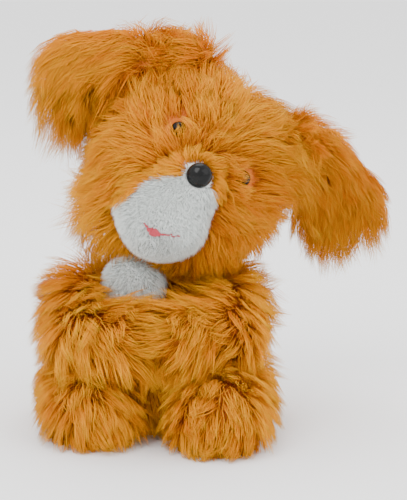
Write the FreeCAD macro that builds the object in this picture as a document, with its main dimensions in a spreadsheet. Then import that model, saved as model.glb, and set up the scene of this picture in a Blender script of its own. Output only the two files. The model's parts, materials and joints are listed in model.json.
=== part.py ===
import FreeCAD, Part
import math
import os
import re
import Sketcher

from FreeCAD import Placement, Rotation, Vector

# Interactive plush puppy, sitting. Millimetres and degrees; +Z is up, the puppy faces -Y, and the
# origin is the centre of the flat seat that it rests on. "left" is the side of -X.

DIMENSIONS = {
    # Plush body
    "cover_wall": 2.5,
    "joint_gap": 0.6,
    "torso_low_radius": 49,
    "torso_low_z": 31,
    "torso_top_radius": 45.5,
    "torso_top_z": 52.5,
    "torso_side_x": 34,
    "bib_x": -12,
    "bib_y": -30,
    "bib_radius": 16,
    "bib_low_z": 73,
    "bib_top_z": 90,
    "tail_radius": 11,
    "tail_base_y": 50,
    "tail_tip_y": 66,
    "tail_base_z": 26,
    "tail_tip_z": 37,
    # Head, sizes in its own tilted frame
    "head_radius": 54,
    "head_roll": 38,
    "head_pivot_drop": 32.3,
    "head_forward": 2,
    "head_turn_y": -8,
    "tilt_pivot_z": 129.4,
    "muzzle_bridge_radius": 13,
    "muzzle_bridge_y": -57,
    "muzzle_bridge_z": 6,
    "muzzle_chin_radius": 25,
    "muzzle_chin_y": -45,
    "muzzle_chin_z": -22,
    "nose_width": 7.8,
    "nose_depth": 6,
    "nose_height": 7,
    "nose_y": -67,
    "nose_z": 12.2,
    "mouth_radius": 2,
    "mouth_y": -68.4,
    "mouth_left_x": -8.7,
    "mouth_left_z": -29,
    "mouth_right_x": 11.5,
    "mouth_right_z": -24.5,
    "eye_radius": 4.7,
    "eye_x": 23.5,
    "eye_z": 22.8,
    "eye_stem_radius": 1.5,
    "eye_washer_radius": 5,
    "plate": 1.5,
    # Ears
    "ear_spread": 32,
    "ear_axle_radius": 73,
    "ear_left_hang": 108,
    "ear_right_hang": 84,
    "ear_left_lean": 0,
    "ear_right_lean": 35,
    "ear_root_radius": 13,
    "ear_tip_radius": 21,
    "ear_root_reach": 22,
    "ear_tip_reach": 67,
    "ear_half_thick": 5,
    "ear_edge_round": 4,
    "ear_blade_end": 52,
    "ear_blade_half_width": 7,
    "ear_blade_half_thick": 1.2,
    "ear_stem_radius": 3,
    "ear_barrel_radius": 4.2,
    "ear_slot_half": 4.3,
    "ear_lug_outer": 7.3,
    "ear_pin_radius": 1.5,
    # Arms
    "shoulder_y": -4,
    "shoulder_z": 68,
    "arm_top_x": 42,
    "arm_top_y": -6,
    "arm_top_z": 73,
    "arm_top_radius": 16,
    "elbow_x": 41,
    "elbow_y": -50,
    "elbow_z": 64,
    "elbow_radius": 14.5,
    "paw_x": 17,
    "paw_y": -66,
    "paw_z": 66,
    "paw_radius": 13.5,
    "arm_clear_y": -38,
    # Legs
    "hip_y": 4,
    "hip_z": 24,
    "thigh_x": 44,
    "thigh_radius": 20,
    "foot_right_x": 38,
    "foot_right_y": -72,
    "foot_right_radius": 20,
    "foot_left_x": 36,
    "foot_left_y": -56,
    "foot_left_radius": 19,
    "leg_clear_y": -51,
    # Limb disc joints
    "limb_pin_radius": 3,
    "limb_pin_inner_x": 26.5,
    "limb_disc_radius": 7.5,
    "limb_disc_x": 40,
    "limb_clip_radius": 6,
    "limb_clip_x": 27.5,
    "limb_washer_radius": 8.5,
    "limb_pocket_radius": 9,
    "limb_pocket_x": 25,
    # Mechanism housing
    "housing_x": 24,
    "housing_y": 25.5,
    "housing_low_z": 2,
    "housing_top_z": 72,
    "housing_wall": 2,
    "housing_split_y": 2,
    "screw_radius": 1.2,
    "screw_head_radius": 2.2,
    "screw_x": 20.5,
    # Head drive
    "running_gap": 0.05,
    "gear_module": 1,
    "gear_backlash": 0.25,
    "gear_pressure": 20,
    "gear_root_depth": 1.25,
    "neck_gear_teeth": 24,
    "reduction_pinion_teeth": 12,
    "reduction_wheel_teeth": 22,
    "motor_pinion_teeth": 10,
    "reduction_bearing": 106,
    "motor_bearing": 11.5,
    "gear_plate_z": 50,
    "low_gear_z": 53.5,
    "low_gear_thick": 4,
    "high_gear_z": 59,
    "high_gear_thick": 5,
    "neck_radius": 5,
    "neck_top_z": 113,
    "tongue_half_thick": 3.5,
    "tongue_boss_radius": 8,
    "tongue_foot": 1,
    "neck_bush_radius": 9,
    "neck_bush_top_z": 98,
    "neck_ring_radius": 7,
    "neck_ring_thick": 1.3,
    "tilt_pin_radius": 2,
    "clevis_slot_half": 3.9,
    "clevis_half_y": 7.4,
    "clevis_half_x": 8,
    "clevis_below": 9,
    "clevis_slot_top": 12,
    "clevis_above": 24,
    "neck_cavity_radius": 29,
    "neck_cavity_half_y": 9,
    "frame_arm_radius": 4,
    "frame_arm_end": 46,
    "motor_radius": 10,
    "motor_low_z": 22,
    "motor_shaft_radius": 1,
    "gear_axle_radius": 1.5,
    # Electrics
    "cell_radius": 5.25,
    "cell_length": 44.5,
    "cell_z": 10,
    "cell_first_x": -13,
    "cell_pitch": 12,
    "door_left_x": -19.5,
    "door_right_x": 11.5,
    "door_half_y": 22,
    "door_gap": 0.3,
    "door_screw_x": 8.5,
    "door_screw_y": 17,
    "switch_x": 17.5,
    "switch_travel": 4,
    "switch_knob_half_x": 2,
    "switch_half_y": 2.5,
    "speaker_radius": 14,
    "speaker_magnet_radius": 9.8,
    "speaker_cone_radius": 11.9,
    "speaker_z": 33,
    "speaker_depth": 7,
    "board_left_x": -21,
    "board_right_x": -1,
    "board_low_z": 21,
    "board_top_z": 47,
    "board_y": 21,
    "button_radius": 5.5,
    "button_travel": 1.2,
    "button_case_radius": 7.5,
    "button_stand": 3,
    "button_forward": 2,
    "wire_radius": 0.8,
    "wire_pitch": 4,
    "wire_overlap": 2,
}

document = FreeCAD.newDocument("plush_puppy")
sheet = document.addObject("Spreadsheet::Sheet", "Dims")
for row, (alias, number) in enumerate(DIMENSIONS.items(), start=1):
    sheet.set(f"A{row}", alias)
    sheet.set(f"B{row}", str(number))
    sheet.setAlias(f"B{row}", alias)
document.recompute()

NODES = []
FLANK_STEPS = 4

# Each chip's distance along X and Z from the board's low corner, and its width.
CHIPS = ((3, 3, 8), (13, 5, 4), (6, 17, 5))


# ---------------------------------------------------------------- expressions and frames

def bound(words):
    """Turn words such as "head_radius - cover_wall" into an expression on the sheet."""
    def on_sheet(match):
        return f"Dims.{match[0]}" if match[0] in DIMENSIONS else match[0]

    return re.sub(r"[a-z_]+", on_sheet, str(words))


def size(words):
    """The number that an expression on the sheet gives now."""
    return float(sheet.evalExpression(bound(words)))


def point(x, y, z):
    return Vector(size(x), size(y), size(z))


def polar(radius, angle):
    return Vector(radius * math.cos(angle), radius * math.sin(angle), 0)


def turned(axis, degrees, at=(0, 0, 0)):
    """A frame moved to a point and turned about one of its axes."""
    return Placement(point(*at), Rotation(Vector(*axis), size(degrees)))


Y_AXIS, Z_AXIS = (0, 1, 0), (0, 0, 1)
WORLD = Placement()
TILT_PIVOT = turned(Y_AXIS, "head_roll", (0, "head_turn_y", "tilt_pivot_z"))
HEAD = TILT_PIVOT * Placement(point(0, "-head_forward", "head_pivot_drop"), Rotation())
TOWARDS = {
    "+X": Rotation(Vector(0, 1, 0), 90),
    "-X": Rotation(Vector(0, 1, 0), -90),
    "+Y": Rotation(Vector(1, 0, 0), -90),
    "-Y": Rotation(Vector(1, 0, 0), 90),
    "+Z": Rotation(),
}


def ear_root(side, name):
    """The frame of an ear's axle: Z points away from the head's centre and Y along the axle."""
    spread = turned(Y_AXIS, f"{side} * ear_spread")
    lean = turned(Z_AXIS, f"ear_{name}_lean", (0, 0, "ear_axle_radius"))
    return HEAD * spread * lean


def ear_pad(side, name):
    """The frame of an ear that hangs from its axle: Z points to the ear's tip."""
    return ear_root(side, name) * turned(Y_AXIS, f"{side} * ear_{name}_hang")


# ---------------------------------------------------------------- primitives and booleans

def primitive(kind, name, at, along="+Z", frame=WORLD, **sizes):
    """A Part primitive whose sizes are bound to the sheet, placed in a frame."""
    solid = document.addObject("Part::" + kind, name)
    for property_name, words in sizes.items():
        solid.setExpression(property_name, bound(words))
    solid.Placement = frame * Placement(point(*at), TOWARDS[along])
    return solid


def cylinder(name, at, radius, length, along="+Z", frame=WORLD):
    return primitive("Cylinder", name, at, along, frame, Radius=radius, Height=length)


def ball(name, at, radius, frame=WORLD):
    return primitive("Sphere", name, at, frame=frame, Radius=radius)


def block(name, low, high, frame=WORLD):
    """A box from its lowest corner to its highest."""
    sides = [f"({top}) - ({bottom})" for bottom, top in zip(low, high)]
    return primitive("Box", name, low, frame=frame, Length=sides[0], Width=sides[1], Height=sides[2])


def rounded_taper(name, start, end, start_radius, end_radius, frame=WORLD):
    """Two balls joined by the cone that touches both, as one solid of revolution."""
    first, last = point(*start), point(*end)
    length = (last - first).Length
    touch = math.acos((start_radius - end_radius) / length)
    before, after = (math.pi + touch) / 2, touch / 2
    along = Vector(length, 0, 0)
    tail, tip = polar(start_radius, math.pi), along + polar(end_radius, 0)
    start_edge, end_edge = polar(start_radius, touch), along + polar(end_radius, touch)
    outline = Part.Wire([
        Part.Arc(tail, polar(start_radius, before), start_edge).toShape(),
        Part.makeLine(start_edge, end_edge),
        Part.Arc(end_edge, along + polar(end_radius, after), tip).toShape(),
        Part.makeLine(tip, tail),
    ])
    solid = document.addObject("Part::Feature", name)
    solid.Shape = Part.Face(outline).revolve(Vector(0, 0, 0), Vector(1, 0, 0), 360)
    solid.Placement = frame * Placement(first, Rotation(Vector(1, 0, 0), last - first))
    return solid


def cut(name, base, *tools):
    """The base with each tool taken away in turn."""
    for number, tool in enumerate(tools):
        step = document.addObject("Part::Cut", f"{name}_{number}")
        step.Base = base
        step.Tool = tool
        base = step
    return base


def join(name, *solids):
    fused = document.addObject("Part::MultiFuse", name)
    fused.Shapes = list(solids)
    return fused


def overlap(name, *solids):
    shared = document.addObject("Part::MultiCommon", name)
    shared.Shapes = list(solids)
    return shared


def group(name, *solids):
    """Separate solids that share one node."""
    together = document.addObject("Part::Compound", name)
    together.Links = list(solids)
    return together


def node(label, solid):
    """Mark a finished sub-part: its label names its file."""
    solid.Label = label
    NODES.append(solid)
    return solid


# ---------------------------------------------------------------- sketched bodies

def new_sketch(body, name, role, height=0):
    """A sketch on one of the body's own origin planes, moved along the plane's normal."""
    sketch = body.newObject("Sketcher::SketchObject", name)
    plane = next(feature for feature in body.Origin.OriginFeatures if feature.Role == role)
    sketch.AttachmentSupport = [(plane, "")]
    sketch.MapMode = "FlatFace"
    sketch.setExpression("AttachmentOffset.Base.z", bound(height))
    return sketch


def constrain(sketch, kind, geometry, vertex, words):
    """Hold one coordinate of a vertex, or a circle's radius, at an expression on the sheet."""
    if kind == "Radius":
        constraint = Sketcher.Constraint(kind, geometry, size(words))
    else:
        constraint = Sketcher.Constraint(kind, -1, 1, geometry, vertex, size(words))
    number = sketch.addConstraint(constraint)
    sketch.setExpression(f"Constraints[{number}]", bound(words))


def add_rectangle(sketch, low, high):
    """Four lines from a low corner to a high corner, held by the two corners."""
    left, right = size(low[0]), size(high[0])
    bottom, top = size(low[1]), size(high[1])
    corners = [Vector(left, bottom), Vector(right, bottom), Vector(right, top), Vector(left, top)]
    first = sketch.GeometryCount
    for start, end in zip(corners, corners[1:] + corners[:1]):
        sketch.addGeometry(Part.LineSegment(start, end), False)
    for side in range(4):
        sketch.addConstraint(Sketcher.Constraint("Coincident", first + side, 2, first + (side + 1) % 4, 1))
        sketch.addConstraint(Sketcher.Constraint(("Horizontal", "Vertical")[side % 2], first + side))
    constrain(sketch, "DistanceX", first, 1, low[0])
    constrain(sketch, "DistanceY", first, 1, low[1])
    constrain(sketch, "DistanceX", first + 2, 1, high[0])
    constrain(sketch, "DistanceY", first + 2, 1, high[1])


def add_circle(sketch, centre, radius):
    circle = Part.Circle(Vector(size(centre[0]), size(centre[1])), Vector(0, 0, 1), size(radius))
    number = sketch.addGeometry(circle, False)
    constrain(sketch, "DistanceX", number, 3, centre[0])
    constrain(sketch, "DistanceY", number, 3, centre[1])
    constrain(sketch, "Radius", number, None, radius)


def pad(body, sketch, length):
    feature = body.newObject("PartDesign::Pad", sketch.Name + "_pad")
    feature.Profile = sketch
    feature.setExpression("Length", bound(length))
    return feature


def pocket(body, sketch, depth, towards_normal=False):
    """Cut a sketch's area into the body, and check that the cut took something away."""
    document.recompute()
    before = body.Shape.Volume
    feature = body.newObject("PartDesign::Pocket", sketch.Name + "_pocket")
    feature.Profile = sketch
    feature.setExpression("Length", bound(depth))
    feature.Reversed = towards_normal
    document.recompute()
    if not body.Shape.Volume < before:
        raise ValueError(f"{sketch.Name} cuts nothing")
    return feature


# ---------------------------------------------------------------- plush skins and fillings

def torso_form(name, inset):
    """The sitting body: two balls and their cone, cut flat at the seat and at both sides."""
    form = rounded_taper(
        name + "_egg",
        (0, 0, "torso_low_z"),
        (0, 0, "torso_top_z"),
        size(f"torso_low_radius - {inset}"),
        size(f"torso_top_radius - {inset}"),
    )
    sides = block(
        name + "_sides",
        (f"-torso_side_x + {inset}", "-2 * torso_low_radius", inset),
        (f"torso_side_x - {inset}", "2 * torso_low_radius", "3 * torso_top_radius"),
    )
    return overlap(name, form, sides)


def limb_form(name, stations, clear_low, clear_high, inset):
    """A limb through its stations, with flat faces where it passes the torso's side."""
    spans = []
    for number, (start, end) in enumerate(zip(stations, stations[1:])):
        radii = [size(f"{station[3]} - {inset}") for station in (start, end)]
        spans.append(rounded_taper(f"{name}_span_{number}", start[:3], end[:3], *radii))
    form = join(name + "_spans", *spans) if len(spans) > 1 else spans[0]
    keep_off = block(name + "_keep_off", clear_low, clear_high)
    return cut(name, form, keep_off)


def limb(name, side, stations, joint_y, joint_z, clear_y, *inner_parts):
    """A limb's cover, stuffing and joint pin. The limb turns on a pin along X."""
    forms = []
    for inset in ("0", "cover_wall"):
        reach = f"torso_side_x + joint_gap + {inset}"
        clear_low = (f"-({reach})", f"{clear_y} - {inset}", "-housing_top_z")
        clear_high = (reach, "2 * housing_top_z", "3 * housing_top_z")
        label = f"{name}_{'outer' if inset == '0' else 'inner'}"
        forms.append(limb_form(label, stations, clear_low, clear_high, inset))
    outer, inner = forms
    pin = limb_pin(name, side, joint_y, joint_z)
    node(name + "_cover", cut(name + "_shell", outer, inner, pin))
    node(name + "_stuffing", cut(name + "_fill", inner, pin, *inner_parts))
    node(name + "_pin", pin)


def limb_pin(name, side, joint_y, joint_z):
    """A pin with a disc in the limb and a spring clip inside the torso."""
    along = "+X" if side > 0 else "-X"

    def ring(part, x, radius, length):
        return cylinder(f"{name}_{part}", (f"{side} * ({x})", joint_y, joint_z), radius, length, along)

    stem = ring("stem", "limb_pin_inner_x", "limb_pin_radius", "limb_disc_x - limb_pin_inner_x")
    disc = ring("disc", "limb_disc_x", "limb_disc_radius", "plate")
    clip = ring("clip", "limb_clip_x", "limb_clip_radius", "plate")
    return join(name + "_pin_body", stem, disc, clip)


def limb_joints():
    """The side, height and depth of each disc joint."""
    return [
        (side, joint_y, joint_z)
        for side in (-1, 1)
        for joint_y, joint_z in (("shoulder_y", "shoulder_z"), ("hip_y", "hip_z"))
    ]


def limb_washers():
    """One washer inside the torso's skin at each disc joint."""
    rings = []
    for number, (side, joint_y, joint_z) in enumerate(limb_joints()):
        at = (f"{side} * (torso_side_x - cover_wall - plate)", joint_y, joint_z)
        along = "+X" if side > 0 else "-X"
        disc = cylinder(f"washer_disc_{number}", at, "limb_washer_radius", "plate", along)
        bore = cylinder(f"washer_bore_{number}", at, "limb_pin_radius + running_gap", "plate", along)
        rings.append(cut(f"washer_{number}", disc, bore))
    node("limb_washers", group("washers", *rings))


def torso_skin(housing_hull, bush_hole, door_hole, switch_hole):
    """The torso's cover and stuffing, hollow where the mechanism and the joints are."""
    outer = torso_form("torso_outer", "0")
    inner = torso_form("torso_inner", "cover_wall")
    sockets, pockets = [], []
    for number, (side, joint_y, joint_z) in enumerate(limb_joints()):
        along = "+X" if side > 0 else "-X"
        at = (f"{side} * limb_pocket_x", joint_y, joint_z)
        bore = "limb_pin_radius + running_gap"
        sockets.append(cylinder(f"socket_{number}", at, bore, "limb_disc_radius * 2", along))
        depth = "torso_side_x - cover_wall - limb_pocket_x"
        pockets.append(cylinder(f"pocket_{number}", at, "limb_pocket_radius", depth, along))
    openings = [housing_hull, bush_hole, door_hole, switch_hole, *sockets]
    node("torso_cover", cut("torso_shell", outer, inner, *openings))
    node("torso_stuffing", cut("torso_fill", inner, housing_hull, bush_hole, *pockets))
    bib = rounded_taper(
        "bib_form",
        ("bib_x", "bib_y", "bib_low_z"),
        ("bib_x", "bib_y", "bib_top_z"),
        size("bib_radius"),
        size("bib_radius - plate"),
    )
    node("chest_bib", cut("bib", bib, torso_form("bib_bed", "0")))
    tail = rounded_taper(
        "tail_form",
        (0, "tail_base_y", "tail_base_z"),
        (0, "tail_tip_y", "tail_tip_z"),
        size("tail_radius"),
        size("tail_radius - plate"),
    )
    node("tail_stub", cut("tail", tail, torso_form("tail_bed", "0")))


def arms(paw_switch):
    for name, side, extra in (("arm_left", -1, paw_switch), ("arm_right", 1, ())):
        stations = [
            (f"{side} * arm_top_x", "arm_top_y", "arm_top_z", "arm_top_radius"),
            (f"{side} * elbow_x", "elbow_y", "elbow_z", "elbow_radius"),
            (f"{side} * paw_x", "paw_y", "paw_z", "paw_radius"),
        ]
        limb(name, side, stations, "shoulder_y", "shoulder_z", "arm_clear_y", *extra)


def legs():
    for name, side, foot in (("leg_left", -1, "foot_left"), ("leg_right", 1, "foot_right")):
        stations = [
            (f"{side} * thigh_x", "hip_y", "thigh_radius", "thigh_radius"),
            (f"{side} * {foot}_x", f"{foot}_y", f"{foot}_radius", f"{foot}_radius"),
        ]
        limb(name, side, stations, "hip_y", "hip_z", "leg_clear_y")


# ---------------------------------------------------------------- head

def eyes():
    """Domed eyes with a stem through the cover, each held by a washer behind it."""
    washers = []
    blanks = []
    depth = "sqrt(head_radius ^ 2 - eye_x ^ 2 - eye_z ^ 2)"
    for name, side in (("left", -1), ("right", 1)):
        look = point(f"{side} * eye_x", f"-{depth}", "eye_z")
        frame = HEAD * Placement(Vector(), Rotation(Vector(0, 0, 1), look))
        dome = ball(f"eye_dome_{name}", (0, 0, "head_radius"), "eye_radius", frame)
        stem_start = (0, 0, "head_radius - 2 * eye_radius")
        stem = cylinder(f"eye_stem_{name}", stem_start, "eye_stem_radius", "2 * eye_radius", "+Z", frame)
        eye = node(f"eye_{name}", join(f"eye_{name}_body", dome, stem))
        washer_start = (0, 0, "head_radius - 2 * eye_radius + plate")
        disc = cylinder(f"eye_disc_{name}", washer_start, "eye_washer_radius", "plate", "+Z", frame)
        washers.append(cut(f"eye_washer_{name}", disc, stem))
        blanks.extend((eye, disc))
    node("eye_washers", group("eye_washer_pair", *washers))
    return blanks


def muzzle():
    """The short-pile muzzle with its nose and felt mouth let into it."""
    form = rounded_taper(
        "muzzle_form",
        (0, "muzzle_bridge_y", "muzzle_bridge_z"),
        (0, "muzzle_chin_y", "muzzle_chin_z"),
        size("muzzle_bridge_radius"),
        size("muzzle_chin_radius"),
        HEAD,
    )
    nose = primitive(
        "Ellipsoid",
        "nose_dome",
        (0, "nose_y", "nose_z"),
        frame=HEAD,
        Radius1="nose_height",
        Radius2="nose_width",
        Radius3="nose_depth",
    )
    mouth = rounded_taper(
        "mouth_strip",
        ("mouth_left_x", "mouth_y", "mouth_left_z"),
        ("mouth_right_x", "mouth_y", "mouth_right_z"),
        size("mouth_radius"),
        size("mouth_radius"),
        HEAD,
    )
    node("nose", nose)
    node("mouth_felt", mouth)
    bed = ball("muzzle_bed", (0, 0, 0), "head_radius", HEAD)
    node("muzzle", cut("muzzle_body", form, bed, nose, mouth))


def head_frame():
    """A clevis round the neck's tongue, with an arm up to each ear's bracket."""
    clevis = block(
        "clevis",
        ("-clevis_half_x", "-clevis_half_y", "-clevis_below"),
        ("clevis_half_x", "clevis_half_y", "clevis_above"),
        TILT_PIVOT,
    )
    slot = block(
        "clevis_slot",
        ("-2 * clevis_half_x", "-clevis_slot_half", "-2 * clevis_below"),
        ("2 * clevis_half_x", "clevis_slot_half", "clevis_slot_top"),
        TILT_PIVOT,
    )
    arms_up = []
    for name, side in (("left", -1), ("right", 1)):
        frame = HEAD * turned(Y_AXIS, f"{side} * ear_spread")
        start = (0, 0, "-clevis_half_x")
        length = "frame_arm_end + clevis_half_x"
        arms_up.append(cylinder(f"frame_arm_{name}", start, "frame_arm_radius", length, "+Z", frame))
    body = join("frame_body", clevis, *arms_up)
    pin = tilt_pin()
    node("tilt_pin", pin)
    return node("head_frame", cut("frame_cut", body, slot, pin))


def tilt_pin():
    """A pin along Y through the clevis and the neck's tongue, with a head at each end."""
    start = (0, "-clevis_half_y - plate / 2", 0)
    stem = cylinder("tilt_stem", start, "tilt_pin_radius", "2 * clevis_half_y + plate", "+Y", TILT_PIVOT)
    heads = []
    for number, y in enumerate(("-clevis_half_y - plate / 2", "clevis_half_y")):
        rim = "tilt_pin_radius + plate"
        heads.append(cylinder(f"tilt_head_{number}", (0, y, 0), rim, "plate / 2", "+Y", TILT_PIVOT))
    return join("tilt_pin_body", stem, *heads)


def ear_brackets():
    """A forked bracket on the head at each ear, with the pin that the ear turns on."""
    forks, pins = [], []
    for name, side in (("left", -1), ("right", 1)):
        frame = ear_root(side, name)
        foot_z = "frame_arm_end - ear_axle_radius"
        post = block(
            f"fork_post_{name}",
            ("-ear_barrel_radius", "-ear_lug_outer", foot_z),
            ("ear_barrel_radius", "ear_lug_outer", 0),
            frame,
        )
        start = (0, "-ear_lug_outer", 0)
        eye = cylinder(f"fork_eye_{name}", start, "ear_barrel_radius", "2 * ear_lug_outer", "+Y", frame)
        slot = block(
            f"fork_slot_{name}",
            ("-3 * ear_barrel_radius", "-ear_slot_half", "-2 * ear_barrel_radius"),
            ("3 * ear_barrel_radius", "ear_slot_half", "2 * ear_barrel_radius"),
            frame,
        )
        pin = cylinder(f"ear_pin_{name}", start, "ear_pin_radius", "2 * ear_lug_outer", "+Y", frame)
        forks.append(cut(f"fork_{name}", join(f"fork_body_{name}", post, eye), slot, pin))
        pins.append(pin)
    node("ear_brackets", group("fork_pair", *forks))
    node("ear_pins", group("ear_pin_pair", *pins))
    return forks


def head():
    frame = head_frame()
    brackets = ear_brackets()
    eye_parts = eyes()
    muzzle()
    outer = ball("head_outer", (0, 0, 0), "head_radius", HEAD)
    inner = ball("head_inner", (0, 0, 0), "head_radius - cover_wall", HEAD)
    cavity = cylinder(
        "neck_cavity",
        (0, "-neck_cavity_half_y", 0),
        "neck_cavity_radius",
        "2 * neck_cavity_half_y",
        "+Y",
        TILT_PIVOT,
    )
    fillings = [cavity, *brackets, *eye_parts]
    node("head_cover", cut("head_shell", outer, inner, *fillings))
    node("head_stuffing", cut("head_fill", inner, frame, *fillings))


# ---------------------------------------------------------------- ears

def ear_outline():
    """The ear's flat shape: a small arc at the root, a large one at the tip, and their tangents."""
    root_radius, tip_radius = size("ear_root_radius"), size("ear_tip_radius")
    root_z, tip_z = size("ear_root_reach"), size("ear_tip_reach")
    slope = math.asin((tip_radius - root_radius) / (tip_z - root_z))
    across, along = math.cos(slope), -math.sin(slope)
    root_side = Vector(root_radius * across, 0, root_z + root_radius * along)
    tip_side = Vector(tip_radius * across, 0, tip_z + tip_radius * along)
    mirrored = [Vector(-side.x, 0, side.z) for side in (root_side, tip_side)]
    return Part.Wire([
        Part.Arc(mirrored[0], Vector(0, 0, root_z - root_radius), root_side).toShape(),
        Part.makeLine(root_side, tip_side),
        Part.Arc(tip_side, Vector(0, 0, tip_z + tip_radius), mirrored[1]).toShape(),
        Part.makeLine(mirrored[1], mirrored[0]),
    ])


def ear(name, side):
    """A flat padded ear round a plastic paddle that turns on the bracket's pin."""
    frame = ear_pad(side, name)
    flat = Part.Face(ear_outline()).extrude(Vector(0, size("2 * ear_half_thick"), 0))
    flat.translate(Vector(0, size("-ear_half_thick"), 0))
    pad_form = document.addObject("Part::Feature", f"ear_form_{name}")
    pad_form.Shape = flat.makeFillet(size("ear_edge_round"), flat.Edges)
    pad_form.Placement = frame
    barrel_start = (0, "-ear_slot_half + 2 * running_gap", 0)
    barrel_length = "2 * ear_slot_half - 4 * running_gap"
    barrel = cylinder(f"barrel_{name}", barrel_start, "ear_barrel_radius", barrel_length, "+Y", frame)
    stem = cylinder(f"ear_stem_{name}", (0, 0, 0), "ear_stem_radius", "ear_root_reach", "+Z", frame)
    blade = block(
        f"blade_{name}",
        ("-ear_blade_half_width", "-ear_blade_half_thick", "ear_root_reach - ear_stem_radius"),
        ("ear_blade_half_width", "ear_blade_half_thick", "ear_blade_end"),
        frame,
    )
    bore = cylinder(
        f"ear_bore_{name}",
        (0, "-ear_lug_outer", 0),
        "ear_pin_radius + running_gap",
        "2 * ear_lug_outer",
        "+Y",
        frame,
    )
    paddle_form = join(f"paddle_body_{name}", barrel, stem, blade)
    paddle = node(f"ear_{name}_paddle", cut(f"paddle_{name}", paddle_form, bore))
    node(f"ear_{name}_cover", cut(f"ear_{name}_pad", pad_form, paddle))


# ---------------------------------------------------------------- gears

def gear_face(teeth, turn):
    """An involute gear's flat outline about the origin, with one tooth centred at the turn angle."""
    module = size("gear_module")
    pressure = math.radians(size("gear_pressure"))
    pitch, tooth_step = module * teeth / 2, 2 * math.pi / teeth
    base, tip = pitch * math.cos(pressure), pitch + module
    root = pitch - size("gear_root_depth") * module
    lowest = max(base, root)

    def involute(radius):
        roll = math.acos(min(1, base / radius))
        return math.tan(roll) - roll

    half_tooth = tooth_step / 4 - size("gear_backlash") / (2 * pitch) + involute(pitch)
    foot_half = half_tooth - involute(lowest)

    def flank(side, middle):
        radii = [lowest + (tip - lowest) * step / FLANK_STEPS for step in range(FLANK_STEPS + 1)]
        return [polar(radius, middle + side * (half_tooth - involute(radius))) for radius in radii]

    def curve(points):
        spline = Part.BSplineCurve()
        spline.interpolate(points)
        return spline.toShape()

    edges = []
    for tooth in range(teeth):
        middle = math.radians(turn) + tooth_step * tooth
        rise, fall = flank(-1, middle), flank(1, middle)
        next_foot = flank(-1, middle + tooth_step)[0]
        root_start = polar(root, middle + foot_half)
        root_middle = polar(root, middle + tooth_step / 2)
        root_end = polar(root, middle + tooth_step - foot_half)
        edges.append(curve(rise))
        edges.append(Part.Arc(rise[-1], polar(tip, middle), fall[-1]).toShape())
        edges.append(curve(fall[::-1]))
        if base > root:
            edges.append(Part.makeLine(fall[0], root_start))
        edges.append(Part.Arc(root_start, root_middle, root_end).toShape())
        if base > root:
            edges.append(Part.makeLine(root_end, next_foot))
    return Part.Face(Part.Wire(edges))


def gear(name, teeth_words, centre, bottom, thick, turn):
    """A spur gear of full thickness, standing on its axis at a centre."""
    wheel = document.addObject("Part::Feature", name)
    wheel.Shape = gear_face(round(size(teeth_words)), turn).extrude(Vector(0, 0, size(thick)))
    wheel.Placement = Placement(Vector(centre.x, centre.y, size(bottom)), Rotation())
    return wheel


def drive_centres():
    """The neck, reduction and motor axes, each pair a meshing distance apart."""
    neck = point(0, "head_turn_y", 0)
    first_gap = size("gear_module * (neck_gear_teeth + reduction_pinion_teeth) / 2")
    second_gap = size("gear_module * (reduction_wheel_teeth + motor_pinion_teeth) / 2")
    reduction = neck + polar(first_gap, math.radians(size("reduction_bearing")))
    motor = reduction + polar(second_gap, math.radians(size("motor_bearing")))
    return neck, reduction, motor


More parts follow.
